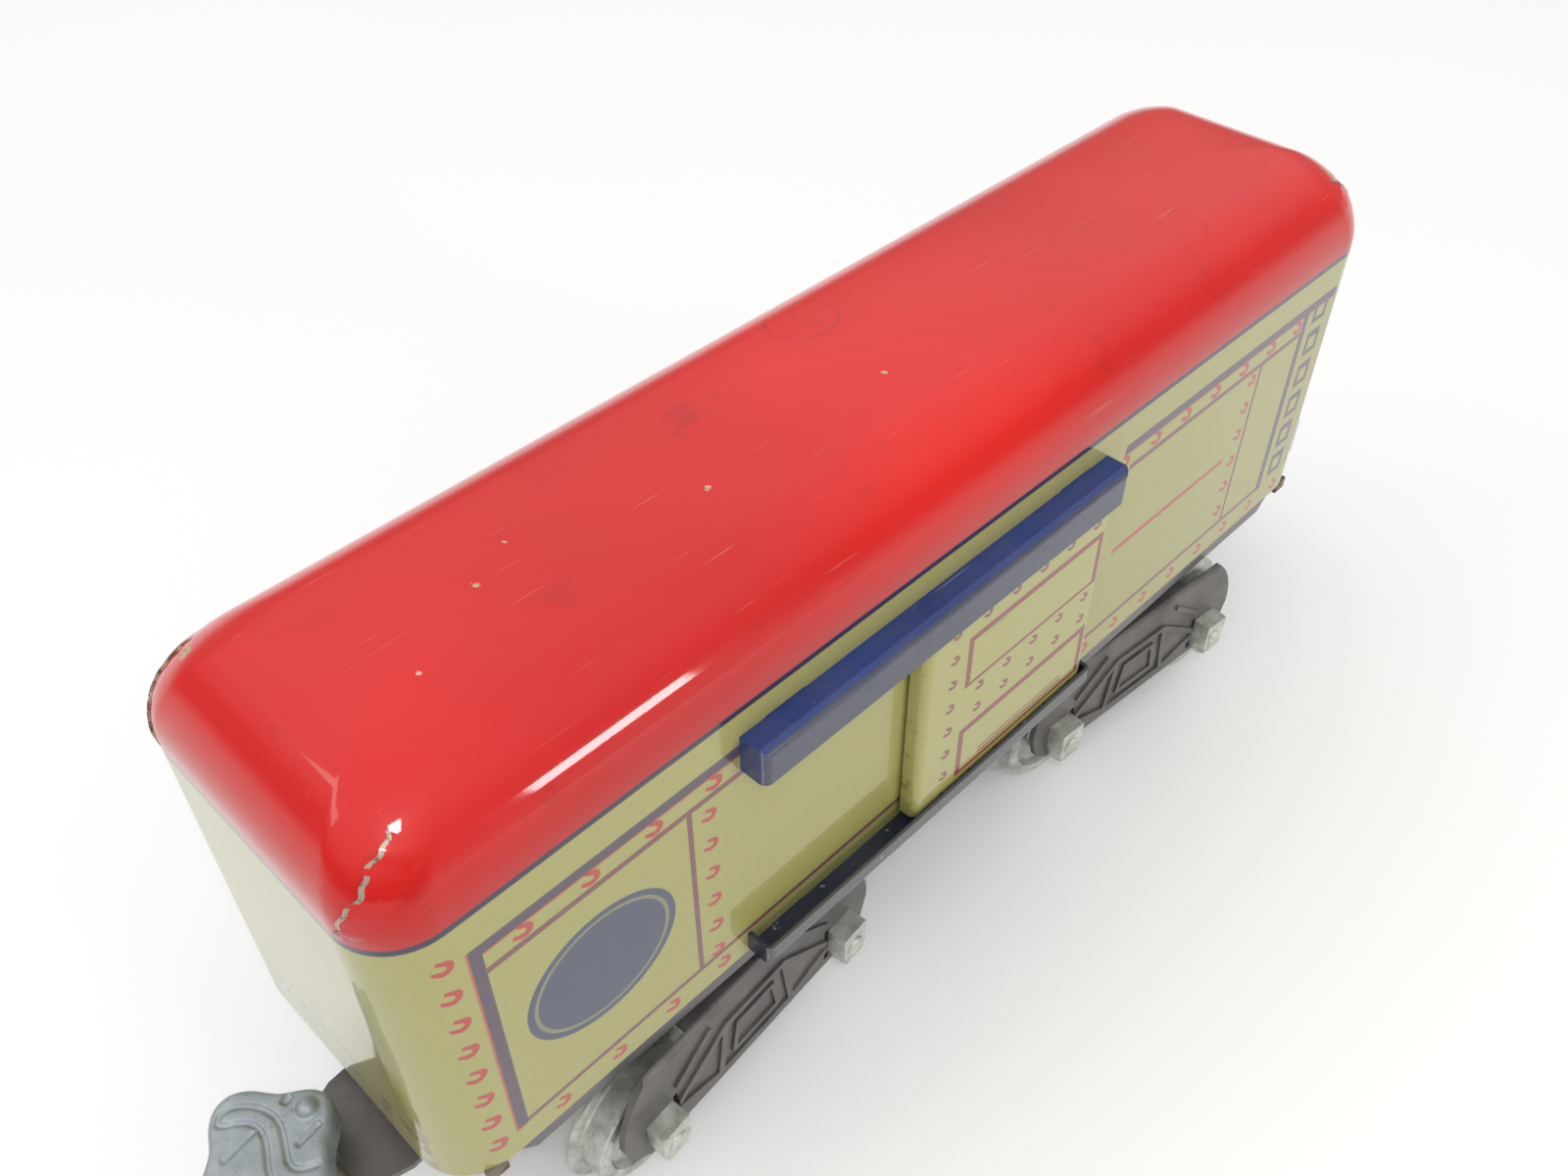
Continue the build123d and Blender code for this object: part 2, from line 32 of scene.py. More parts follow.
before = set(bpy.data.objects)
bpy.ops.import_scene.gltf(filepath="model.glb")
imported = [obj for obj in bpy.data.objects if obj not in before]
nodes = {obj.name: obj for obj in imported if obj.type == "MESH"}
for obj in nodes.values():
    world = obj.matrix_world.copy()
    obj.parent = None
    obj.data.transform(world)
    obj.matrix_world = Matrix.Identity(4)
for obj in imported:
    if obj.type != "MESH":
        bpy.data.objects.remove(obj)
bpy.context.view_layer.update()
MM = 0.001


def linear(red, green, blue):
    """A colour given in 0..255 display steps, as the linear values that sockets take."""
    steps = [c / 255 for c in (red, green, blue)]
    return tuple(c / 12.92 if c <= 0.04045 else ((c + 0.055) / 1.055) ** 2.4 for c in steps) + (1.0,)


# ---- places taken from the frame --------------------------------------------
shell_low, shell_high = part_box("body_shell")
coupler_low, coupler_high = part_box("coupler_front")
door_low, door_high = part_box("door_left")
TAB_HEIGHT = 1.5
BODY_BOTTOM = shell_low.z / MM + TAB_HEIGHT
RIDGE = shell_high.z / MM
HALF_LENGTH = shell_high.x / MM
HALF_WIDTH = 19.05
rail_low, rail_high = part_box("upper_rail_left")
RAIL_OUTSIDE = -rail_low.y / MM
RAIL_SPAN = (rail_low.x / MM, rail_high.x / MM)
EAVE = 38.8                       # eave line above the bottom edge of the wall
PLATE_GROUND = linear(166, 162, 92)
RIVET_RED = linear(184, 46, 54)
LINE_PLUM = linear(120, 66, 76)
BAR_PURPLE = linear(78, 70, 88)
EAVE_PURPLE = linear(52, 38, 66)
DISC_BLUE = linear(74, 80, 102)
DISC_RING = linear(150, 148, 104)
ROOF_RED = linear(232, 26, 16)
BARE_TIN = linear(150, 145, 136)
RUST = linear(94, 62, 42)


# ---- shader kit ---------------------------------------------------------------
class Signal:
    """A socket of a finish's node tree. Arithmetic on it adds Math nodes."""

    def __init__(self, finish, socket):
        self.finish = finish
        self.socket = socket

    def math(self, operation, *others):
        made = self.finish.node("ShaderNodeMath", {"operation": operation}, dict(enumerate((self, *others))))
        return made[0]

    def __add__(self, other):
        return self.math("ADD", other)

    def __sub__(self, other):
        return self.math("SUBTRACT", other)

    def __mul__(self, other):
        return self.math("MULTIPLY", other)

    def __truediv__(self, other):
        return self.math("DIVIDE", other)

    def __rsub__(self, other):
        return self.math("MULTIPLY_ADD", -1.0, other)

    def __neg__(self):
        return self.math("MULTIPLY", -1.0)

    def __abs__(self):
        return self.math("ABSOLUTE")

    __radd__ = __add__
    __rmul__ = __mul__

    def clamp(self):
        held = self.math("ADD", 0.0)
        held.socket.node.use_clamp = True
        return held

    def over(self, level, soft):
        """0 below the level, 1 above it, with a soft step between."""
        return ((self - level) / soft + 0.5).clamp()

    def under(self, level, soft):
        return ((level - self) / soft + 0.5).clamp()

    def within(self, low, high, soft):
        return self.over(low, soft) * self.under(high, soft)

    def most(self, other):
        return self.math("MAXIMUM", other)

    def repeat(self, first, pitch):
        """Distance from the nearest of a row of marks."""
        return (self - first).math("WRAP", pitch / 2, -pitch / 2)


class Finish:
    """One material and its node tree."""

    def __init__(self, name):
        self.material = bpy.data.materials.new(name)
        self.material.use_nodes = True
        self.tree = self.material.node_tree
        self.tree.nodes.clear()
        place = self.node("ShaderNodeTexCoord", {}, {})["Object"]
        self.place = place
        split = self.node("ShaderNodeSeparateXYZ", {}, {"Vector": place})
        self.x, self.y, self.z = (split[axis] * (1 / MM) for axis in "XYZ")

    def node(self, kind, settings, inputs):
        """Adds a node: its settings first, then the values or links of its sockets."""
        made = self.tree.nodes.new(kind)
        for key, value in settings.items():
            if key == "stops":
                ramp = made.color_ramp.elements
                while len(ramp) < len(value):
                    ramp.new(1.0)
                for stop, (position, colour) in zip(ramp, value):
                    stop.position = position
                    stop.color = colour
            else:
                setattr(made, key, value)
        for key, value in inputs.items():
            if isinstance(value, Signal):
                self.tree.links.new(value.socket, made.inputs[key])
            else:
                made.inputs[key].default_value = value
        return Outputs(self, made)

    def blend(self, factor, first, second):
        """Colour mix: first where the factor is 0, second where it is 1."""
        mix = self.node("ShaderNodeMix", {"data_type": "RGBA"}, {0: factor, 6: first, 7: second})
        return mix[2]

    def stretched(self, scale):
        """Place with each axis scaled, for patterns drawn out along one axis."""
        return self.node("ShaderNodeMapping", {}, {"Vector": self.place, "Scale": scale})["Vector"]

    def noise(self, per_mm, detail=3.0, rough=0.5, place=None, distortion=0.0):
        made = self.node("ShaderNodeTexNoise", {}, {
            "Vector": place or self.place, "Scale": per_mm / MM, "Detail": detail, "Roughness": rough,
            "Distortion": distortion})
        return made["Fac"]

    def cells(self, per_mm, randomness=1.0, place=None):
        """Distance to the nearest of scattered points, in cells."""
        return self.node("ShaderNodeTexVoronoi", {}, {
            "Vector": place or self.place, "Scale": per_mm / MM, "Randomness": randomness})

    def scratches(self, per_mm, stretch, amount):
        """Thin straight hairlines drawn out along one axis."""
        streaks = self.noise(per_mm, 2.0, place=self.stretched(stretch))
        return streaks.over(0.78 - amount, 0.05)

    def bump(self, height, strength, distance_mm, normal=None):
        inputs = {"Height": height, "Strength": strength, "Distance": distance_mm * MM}
        if normal is not None:
            inputs["Normal"] = normal
        return self.node("ShaderNodeBump", {}, inputs)["Normal"]

    def shade(self, inputs):
        shader = self.node("ShaderNodeBsdfPrincipled", {}, inputs)
        self.node("ShaderNodeOutputMaterial", {}, {"Surface": shader["BSDF"]})
        return self.material


class Outputs:
    """The output sockets of a node, by name or number."""

    def __init__(self, finish, node):
        self.finish = finish
        self.node = node

    def __getitem__(self, key):
        return Signal(self.finish, self.node.outputs[key])


# ---- the print ------------------------------------------------------------------
INK_EDGE = 0.09


def rivet_mark(across, up, radius, stroke):
    """Printed shadow of a rivet head: a hook whose two legs point to its upper left."""
    leg = up * 0.48 - across * 0.88
    beside = up * 0.88 + across * 0.48
    round_part = (-leg).most(0.0)
    reach = (round_part * round_part + beside * beside).math("SQRT")
    ring = abs(reach - radius).under(stroke - leg * 0.1, INK_EDGE)
    return ring * leg.under(radius * 1.5, INK_EDGE)


def mark_row(along, up, first, pitch, count, level, radius, stroke):
    """A row of marks along one axis."""
    inside = along.within(first - pitch / 2, first + pitch * (count - 0.5), INK_EDGE)
    return rivet_mark(along.repeat(first, pitch), up - level, radius, stroke) * inside


def mark_column(along, up, level, first, pitch, count, radius, stroke):
    """A column of marks, from the bottom up."""
    inside = up.within(first - pitch / 2, first + pitch * (count - 0.5), INK_EDGE)
    return rivet_mark(along - level, up.repeat(first, pitch), radius, stroke) * inside


def bar(along, up, left, right, low, high):
    """Filled rectangle of ink."""
    return along.within(left, right, INK_EDGE) * up.within(low, high, INK_EDGE)


def box_outline(along, up, left, right, low, high, sides, top, bottom):
    """Rectangle of ink with its own thickness at the sides, top and bottom."""
    outside = bar(along, up, left, right, low, high)
    return outside * (1 - bar(along, up, left + sides, right - sides, low + bottom, high - top))


def union(marks):
    total = marks[0]
    for mark in marks[1:]:
        total = total.most(mark)
    return total


def wall_coordinates(finish):
    """Along the wall as one faces it, and up from its bottom edge."""
    facing = finish.y.math("SIGN")
    return -(finish.x * facing), finish.z - BODY_BOTTOM


def wall_print(finish, ground):
    """The printed sides: frame lines, rivet marks, plain oval disc and ladder squares."""
    along, up = wall_coordinates(finish)
    on_side = abs(finish.y).over(18.72, 0.05)
    big, small = (0.62, 0.31), (0.56, 0.27)
    left_part = along.under(-38.4, INK_EDGE)
    lines = union([
        bar(along, up, -67.4, -37.0, 29.6, 30.4),
        bar(along, up, 24.2, 63.0, 29.6, 30.4),
        bar(along, up, -45.25, -44.6, 4.0, 29.9),
        bar(along, up, -67.6, 63.6, 3.65, 4.35),
        bar(along, up, 53.0, 53.6, 4.0, 29.9),
        bar(along, up, 70.3, 70.8, 4.0, 33.6),
    ])
    squares_up = up.repeat(6.6, 5.08)
    squares = box_outline(along - 66.9, squares_up, -1.7, 1.7, -1.85, 1.85, 0.75, 1.05, 0.75)
    squares = squares * up.within(4.3, 34.2, INK_EDGE)
    bars = union([
        bar(along, up, -68.65, -67.4, 3.7, 34.0),
        bar(along, up, -68.65, -37.0, 32.62, 33.98),
        bar(along, up, 22.7, 70.2, 32.62, 33.98),
        bar(along, up, 62.6, 63.75, 3.75, 33.0),
        squares,
    ])
    fringe = union([
        bar(along, up, -68.9, -67.6, 3.4, 34.0),
        bar(along, up, -68.9, -37.0, 32.4, 33.7),
        bar(along, up, 22.5, 70.0, 32.4, 33.7),
        bar(along, up, 62.4, 63.4, 3.5, 32.8),
    ])
    rule = bar(along, up, 24.0, 49.0, 16.6, 17.3)
    marks = union([
        mark_column(along, up, -70.85, 3.85, 4.335, 8, *big),
        mark_column(along, up, -42.5, 5.0, 4.5, 6, *small),
        mark_column(along, up, 51.5, 6.9, 4.3, 6, *small),
        mark_row(along, up, -63.4, 7.25, 4, 31.5, *big),
        mark_row(along, up, 22.9, 6.4, 7, 31.5, *big),
        mark_row(along, up, -63.4, 7.2, 4, 1.95, *small),
        mark_row(along, up, 21.8, 6.6, 8, 1.95, *small),
        rule,
    ])
    disc_across = (along + 56.3) / 8.8
    disc_up = (up - 18.2) / 7.8
    disc_reach = (disc_across * disc_across + disc_up * disc_up).math("SQRT")
    disc = disc_reach.under(1.0, 0.015)
    ring = abs(disc_reach - 0.885).under(0.024, 0.015)
    colour = finish.blend(fringe * on_side * 0.7, ground, RIVET_RED)
    colour = finish.blend(lines * on_side * 0.92, colour, LINE_PLUM)
    colour = finish.blend(bars * on_side * 0.94, colour, BAR_PURPLE)
    colour = finish.blend(marks * on_side * 0.9, colour, RIVET_RED)
    colour = finish.blend(disc * on_side * left_part, colour, DISC_BLUE)
    return finish.blend(ring * on_side * left_part * 0.75, colour, DISC_RING)


def chip_at(finish, x, y, z, size):
    """One flake of lost paint, with a ragged outline."""
    away = [finish.x - x, finish.y - y, finish.z - z]
    reach = (away[0] * away[0] + away[1] * away[1] + away[2] * away[2]).math("SQRT")
    ragged = finish.ragged * size * 1.6
    return (reach + ragged).under(size, 0.08)


# Lost paint: the middle of each flake on the body, and its radius.
CHIPS = (
    (-69.0, -15.7, 73.4, 0.9), (-51.0, -0.6, 76.1, 0.55), (-60.2, -5.5, 75.9, 0.35),
    (-28.2, -5.1, 75.9, 0.5), (-3.5, -4.7, 75.9, 0.5), (22.9, -15.9, 73.2, 0.55),
    (-59.1, -16.4, 72.8, 0.4), (-45.9, 2.1, 76.0, 0.35), (71.4, -13.6, 73.0, 1.3),
    (-71.5, 13.0, 73.2, 1.2), (73.0, -17.2, 66.0, 0.8),
)
RING_STAIN = (-2.0, 8.6, 4.1)     # middle and radius of the ring left on the roof
END_RUB = 75.7                    # the ends are rubbed past this distance from the middle


def litho_body():
    """Printed sheet of the body: cream walls, red roof with painted shade towards the eave, eave line, chips
    and a stain.
    """
    finish = Finish("litho_tin")
    _, up = wall_coordinates(finish)
    finish.ragged = (finish.noise(1.3, 3.0) - 0.35) * 1.5
    tone = finish.noise(0.035, 3.0)
    fine = finish.noise(2.4, 2.0)
    ground = finish.blend(tone, PLATE_GROUND, linear(176, 170, 106))
    ground = finish.blend(fine.over(0.62, 0.25) * 0.12, ground, linear(132, 126, 66))
    printed = wall_print(finish, ground)
    drift = (finish.noise(0.05, 1.0) - 0.5) * 0.25
    eave = up + drift
    printed = finish.blend(eave.over(EAVE - 0.75, 0.12), printed, EAVE_PURPLE)
    roof = finish.blend(finish.noise(0.02, 2.0).over(0.5, 0.5), ROOF_RED, linear(198, 20, 18))
    stain = finish.noise(0.12, 4.0, 0.65)
    roof = finish.blend(stain.over(0.68, 0.12) * 0.35, roof, linear(148, 14, 14))
    ring_x = finish.x - RING_STAIN[0]
    ring_y = finish.y - RING_STAIN[1]
    ring_reach = (ring_x * ring_x + ring_y * ring_y).math("SQRT") + (finish.noise(0.3, 2.0) - 0.5) * 1.6
    ring = abs(ring_reach - RING_STAIN[2]).under(0.14, 0.2) * 0.3
    roof = finish.blend(ring, roof, linear(120, 30, 24))
    # Painted shade: the roof is painted a darker red towards the eave, where its shoulder turns away from the
    # light.
    roof = finish.blend(eave.under(EAVE + 4.0, 7.0) * 0.75, roof, linear(178, 12, 8))
    colour = finish.blend(eave.over(EAVE, 0.12), printed, roof)
    flecks = finish.cells(0.075)
    sizes = finish.node("ShaderNodeSeparateColor", {}, {"Color": flecks["Color"]})
    fleck = (flecks["Distance"] + finish.ragged * 0.012).under(sizes["Red"] * 0.026 - 0.012, 0.004)
    chips = union([fleck] + [chip_at(finish, *place) for place in CHIPS])
    bare_edge = up.under(0.3, 0.12) * (finish.noise(0.4, 3.0) - 0.1)
    scuffs = finish.scratches(3.0, (0.025, 1.0, 1.0), 0.06) * finish.noise(0.05, 2.0).over(0.5, 0.2)
    end_rub = abs(finish.x).over(END_RUB, 0.3) * up.under(9.0, 6.0)
    end_rub = end_rub * finish.noise(0.35, 4.0, 0.7).over(0.56, 0.06)
    bare = union([chips, bare_edge.clamp()])
    colour = finish.blend(scuffs * 0.22, colour, linear(222, 190, 160))
    colour = finish.blend(end_rub * 0.55, colour, RUST)
    chip_tone = finish.blend(finish.noise(1.8, 2.0), linear(238, 214, 186), linear(168, 120, 92))
    colour = finish.blend(bare, colour, chip_tone)
    waves = finish.noise(0.022, 1.0)
    ripple = finish.noise(0.11, 2.0)
    peel = finish.noise(1.1, 1.0)
    surface = finish.bump(waves, 0.5, 1.2)
    surface = finish.bump(ripple, 0.22, 0.3, surface)
    surface = finish.bump(peel, 0.06, 0.05, surface)
    surface = finish.bump(bare, -0.6, 0.08, surface)
    rough = 0.3 + finish.noise(0.5, 4.0, 0.6) * 0.1 + scuffs * 0.25 + bare * 0.3
    return finish.shade({
        "Base Color": colour, "Roughness": rough, "Metallic": bare * 0.3, "Coat Weight": 1 - bare,
        "Coat Roughness": 0.05, "Coat IOR": 1.42, "Specular IOR Level": 0.15, "Normal": surface})


def litho_door():
    """Printed door: boxes, rules and rows of rivet marks, bare tin on its inner face."""
    finish = Finish("litho_door_tin")
    along, up = wall_coordinates(finish)
    tone = finish.noise(0.05, 3.0)
    colour = finish.blend(tone, linear(172, 167, 94), linear(182, 176, 112))
    column = mark_column(along, up, -9.65, 2.3, 3.8, 8, 0.42, 0.24)
    rows = [mark_row(along, up, -4.6, 4.85, 5, level, 0.42, 0.24) for level in (2.3, 13.95, 17.55, 28.7)]
    boxes = [
        box_outline(along, up, -7.45, 16.6, 18.9, 26.8, 0.85, 0.9, 0.5),
        box_outline(along, up, -7.45, 16.4, 3.9, 11.95, 0.9, 1.0, 0.55),
    ]
    rules = [bar(along, up, -3.4, 12.6, level, level + 0.3) for level in (4.95, 5.6)]
    colour = finish.blend(union([column] + rows) * 0.92, colour, linear(132, 60, 66))
    colour = finish.blend(union(boxes + rules) * 0.95, colour, linear(138, 58, 58))
    scuffs = finish.scratches(3.0, (0.03, 1.0, 1.0), 0.07) * finish.noise(0.09, 2.0).over(0.5, 0.2)
    colour = finish.blend(scuffs * 0.35, colour, linear(110, 104, 64))
    edge = abs(up - 17.75).over(16.25, 0.5).most(abs(along - 1.7).over(15.8, 0.4))
    worn = edge * finish.noise(0.5, 4.0, 0.7).over(0.6, 0.08)
    inside = abs(finish.y).under(door_low.y / -MM - 0.75, 0.1) * abs(along - 1.7).under(15.5, 0.2)
    colour = finish.blend(worn * 0.7, colour, linear(128, 112, 80))
    colour = finish.blend(inside, colour, BARE_TIN)
    surface = finish.bump(finish.noise(0.06, 1.0), 0.3, 0.6)
    surface = finish.bump(finish.noise(1.1, 1.0), 0.06, 0.05, surface)
    rough = 0.3 + finish.noise(0.5, 4.0, 0.6) * 0.12 + scuffs * 0.2
    return finish.shade({
        "Base Color": colour, "Roughness": rough, "Metallic": inside * 0.9, "Coat Weight": 1 - inside,
        "Coat Roughness": 0.06, "Coat IOR": 1.42, "Specular IOR Level": 0.15, "Normal": surface})


# ---- enamels and metals -----------------------------------------------------------

def enamel(name, deep, pale, flange_reflection, worn, chip_level, flange_start, bare_ends):
    """Stove enamel over tin: painted greyer on the outward flanges as painted reflection, chipped, bare where
    the strip was cut.
    """
    finish = Finish(name)
    tone = finish.noise(0.06, 3.0)
    colour = finish.blend(tone.over(0.5, 0.5), deep, pale)
    ragged = finish.noise(0.9, 4.0, 0.7)
    # Painted reflection: the outward flanges are painted greyer, standing in for the pale floor mirrored in
    # the enamel.
    outward = (abs(finish.y) + (ragged - 0.5) * 0.25).over(flange_start, 0.12)
    colour = finish.blend(outward * 0.85, colour, flange_reflection)
    wear = finish.noise(0.45, 5.0, 0.7).over(chip_level, 0.03)
    if bare_ends:
        along, _ = wall_coordinates(finish)
        middle = (bare_ends[0] + bare_ends[1]) / 2
        half = (bare_ends[1] - bare_ends[0]) / 2
        cut = (abs(along - middle) + ragged * 0.35).over(half - 0.02, 0.1)
        cut = cut * abs(finish.y).over(flange_start - 0.15, 0.2)
        wear = wear.most(cut)
    dust = finish.noise(0.2, 4.0, 0.6).over(0.5, 0.4)
    scuffs = finish.scratches(3.0, (0.02, 1.0, 1.0), 0.08) * finish.noise(0.1, 2.0).over(0.5, 0.15)
    colour = finish.blend(dust * 0.1, colour, linear(128, 122, 118))
    colour = finish.blend(scuffs * 0.4, colour, worn)
    colour = finish.blend(wear, colour, worn)
    surface = finish.bump(finish.noise(0.09, 1.0), 0.3, 0.5)
    surface = finish.bump(finish.noise(1.4, 2.0), 0.1, 0.06, surface)
    surface = finish.bump(wear, -0.5, 0.06, surface)
    rough = 0.34 + finish.noise(0.6, 4.0, 0.6) * 0.14 + wear * 0.1
    return finish.shade({
        "Base Color": colour, "Roughness": rough, "Metallic": wear * 0.6, "Coat Weight": (1 - wear) * 0.7,
        "Coat Roughness": 0.16, "Coat IOR": 1.4, "Specular IOR Level": 0.3, "Normal": surface})


def rolled_steel(name, dark, light, rust_level):
    """Blackened strip steel with oil stains and rust freckles."""
    finish = Finish(name)
    cloud = finish.noise(0.16, 5.0, 0.65)
    colour = finish.blend(cloud.over(0.5, 0.35), dark, light)
    rust = finish.noise(0.7, 5.0, 0.75).over(rust_level, 0.05)
    colour = finish.blend(rust * 0.8, colour, RUST)
    grain = finish.noise(1.6, 3.0, place=finish.stretched((0.06, 1.0, 1.0)))
    scuffs = finish.scratches(3.2, (0.03, 1.0, 1.0), 0.09) * finish.noise(0.12, 2.0).over(0.5, 0.15)
    colour = finish.blend(scuffs * 0.4, colour, linear(168, 164, 156))
    surface = finish.bump(grain, 0.16, 0.05)
    surface = finish.bump(finish.noise(0.3, 2.0), 0.2, 0.12, surface)
    rough = 0.36 + cloud * 0.18 + rust * 0.3
    return finish.shade({
        "Base Color": colour, "Roughness": rough, "Metallic": 0.5 - rust * 0.4, "Normal": surface})


def cast_zinc(name, pale, dull, rough_base):
    """Die-cast zinc: pale skin, grey bloom in patches, pits."""
    finish = Finish(name)
    bloom = finish.noise(0.35, 5.0, 0.65)
    colour = finish.blend(bloom.over(0.5, 0.3), dull, pale)
    pits = finish.cells(1.6)["Distance"].under(0.13, 0.06) * finish.noise(0.3, 2.0).over(0.52, 0.1)
    colour = finish.blend(pits * 0.6, colour, linear(84, 84, 80))
    stain = finish.noise(0.9, 4.0, 0.7).over(0.64, 0.08)
    colour = finish.blend(stain * 0.45, colour, linear(96, 98, 92))
    surface = finish.bump(finish.noise(0.8, 3.0), 0.35, 0.12)
    surface = finish.bump(finish.noise(4.0, 2.0), 0.15, 0.04, surface)
    surface = finish.bump(pits, -0.6, 0.1, surface)
    rough = rough_base + bloom * 0.2
    return finish.shade({
        "Base Color": colour, "Roughness": rough, "Metallic": 0.6, "Normal": surface})


FINISHES = {
    "litho": litho_body(),
    "door_litho": litho_door(),
    # The third colour of each enamel is the painted reflection on its outward flanges.
    "blue_enamel": enamel("blue_enamel", linear(20, 44, 112), linear(32, 60, 130), linear(70, 70, 82),
                          linear(168, 164, 158), 0.72, RAIL_OUTSIDE - 0.35, RAIL_SPAN),
    # The lower rail's dark navy includes painted shade inside its channel, and its grey lip is painted
    # reflection.
    "lower_enamel": enamel("lower_enamel", linear(22, 30, 54), linear(34, 42, 66), linear(92, 90, 92),
                           linear(160, 152, 144), 0.66, RAIL_OUTSIDE - 0.35, RAIL_SPAN),
    "frame_enamel": enamel("frame_enamel", linear(74, 70, 76), linear(88, 84, 88), linear(86, 83, 84),
                           linear(150, 144, 136), 0.7, HALF_WIDTH - 1.2, None),
    "truck_steel": rolled_steel("truck_steel", linear(92, 89, 88), linear(122, 118, 115), 0.68),
    "drawbar_steel": rolled_steel("drawbar_steel", linear(104, 101, 99), linear(130, 126, 122), 0.7),
    "journal_zinc": cast_zinc("journal_zinc", linear(226, 226, 216), linear(178, 178, 168), 0.28),
    "wheel_zinc": cast_zinc("wheel_zinc", linear(206, 210, 200), linear(158, 162, 152), 0.25),
    "coupler_zinc": cast_zinc("coupler_zinc", linear(178, 186, 192), linear(156, 164, 170), 0.42),
    "rivet_steel": rolled_steel("rivet_steel", linear(120, 116, 110), linear(150, 146, 138), 0.7),
    "bare_tin": rolled_steel("bare_tin", linear(168, 164, 152), linear(190, 186, 174), 0.68),
    "lap_edge": rolled_steel("lap_edge", linear(150, 128, 112), linear(196, 178, 160), 0.55),
    "cut_edge": rolled_steel("cut_edge", linear(96, 86, 74), linear(140, 132, 118), 0.56),
}


def dress(piece, *materials):
    """Gives a piece its materials, in slot order."""
    piece.data.materials.clear()
    for material in materials:
        piece.data.materials.append(material)


NODE_FINISH = (
    ("body_shell", "litho"), ("door_", "door_litho"),
    ("upper_rail", "blue_enamel"), ("lower_rail", "lower_enamel"), ("underframe", "frame_enamel"),
    ("truck_frame", "truck_steel"), ("drawbar_rivet", "rivet_steel"), ("drawbar", "drawbar_steel"),
    ("journal_box", "journal_zinc"), ("wheel", "wheel_zinc"),
    ("coupler_pin", "rivet_steel"), ("coupler", "coupler_zinc"),
    ("pivot", "rivet_steel"), ("axle", "rivet_steel"),
)
for name, piece in nodes.items():
    for start, slot in NODE_FINISH:
        if name.startswith(start):
            dress(piece, FINISHES[slot])
            break


# ---- pressed body ---------------------------------------------------------------------
WALL = 0.5                        # sheet thickness
CORNER = 6.3                      # plan radius of the body's corners
CROWN_DROP = 2.2
SIDE_ROUND = 9.0
END_ROUND = 9.5
ROOF_START = RIDGE - 9.25
SHOULDER_BAND = 3.2               # last straight stretch of wall under the roof
CORNER_STEPS = 12
ROOF_STEPS = 14                   # rings over the shoulder
ROOF_RINGS = (2.5, 5.0, 7.5, 9.2)     # rings over the crown, drawn in from the shoulder
HOLE_LAP = (3.0, 2.4)             # how far a door reaches past its hole, along and up
SLOT_FROM_END = 6.0               # middle of a slot, from the rail's end
SLOT_HALF = 2.6
TAB_PLACE = 71.6                  # folded tabs, from the middle of the car
TAB_HALF = (1.2, 0.45)


def deselect():
    if bpy.context.object and bpy.context.object.mode != "OBJECT":
        bpy.ops.object.mode_set(mode="OBJECT")
    bpy.ops.object.select_all(action="DESELECT")


def settle(piece, name):
    """Names a finished piece and puts its place into its mesh."""
    deselect()
    piece.select_set(True)
    bpy.context.view_layer.objects.active = piece
    bpy.ops.object.transform_apply(location=True, rotation=True, scale=True)
    piece.name = name
    piece.data.name = name
    return piece


def add_block(low, high):
    """Cube between two corners given in millimetres."""
    deselect()
    middle = [(a + b) / 2 * MM for a, b in zip(low, high)]
    bpy.ops.mesh.primitive_cube_add(size=1.0, location=middle)
    piece = bpy.context.object
    piece.scale = [abs(b - a) * MM for a, b in zip(low, high)]
    return settle(piece, "block")


def edit(piece, mode, chosen):
    """Opens a piece for editing with the faces or edges that the test picks out."""
    deselect()
    bpy.context.view_layer.objects.active = piece
    piece.select_set(True)
    bpy.ops.object.mode_set(mode="EDIT")
    bpy.ops.mesh.select_mode(type=mode)
    bpy.ops.mesh.select_all(action="DESELECT")
    bpy.ops.object.mode_set(mode="OBJECT")
    mesh = piece.data
    for item in (mesh.polygons if mode == "FACE" else mesh.edges):
        item.select = chosen(mesh, item)
    bpy.ops.object.mode_set(mode="EDIT")


def done():
    bpy.ops.object.mode_set(mode="OBJECT")


def modify(piece, kind, **settings):
    """Adds a modifier with its settings and applies it."""
    deselect()
    piece.select_set(True)
    bpy.context.view_layer.objects.active = piece
    made = piece.modifiers.new(kind.lower(), kind)
    for key, value in settings.items():
        setattr(made, key, value)
    bpy.ops.object.modifier_apply(modifier=made.name)


def cut_away(piece, cutter):
    modify(piece, "BOOLEAN", object=cutter, operation="DIFFERENCE", solver="MANIFOLD")
    bpy.data.objects.remove(cutter)


def smooth(piece, degrees):
    """Shades a piece smooth, apart from edges sharper than the angle."""
    deselect()
    piece.select_set(True)
    bpy.context.view_layer.objects.active = piece
    bpy.ops.object.shade_smooth_by_angle(angle=math.radians(degrees))


def corner_name(start, end, side):
    return f"{start}_{'front' if end < 0 else 'rear'}_{'left' if side < 0 else 'right'}"


def edge_ends(mesh, edge):
    return [mesh.vertices[i].co for i in edge.vertices]


def is_upright(mesh, edge):
    first, second = edge_ends(mesh, edge)
    return abs(first.z - second.z) > 10 * MM


def step_up(rise, long_from, long_to, wide_from, wide_to):
    """Next ring of the roof: the open rim goes up and draws in."""
    bpy.ops.mesh.extrude_region_move(TRANSFORM_OT_translate={"value": (0, 0, rise * MM)})
    bpy.ops.transform.resize(value=(long_to / long_from, wide_to / wide_from, 1.0), center_override=(0, 0, 0))


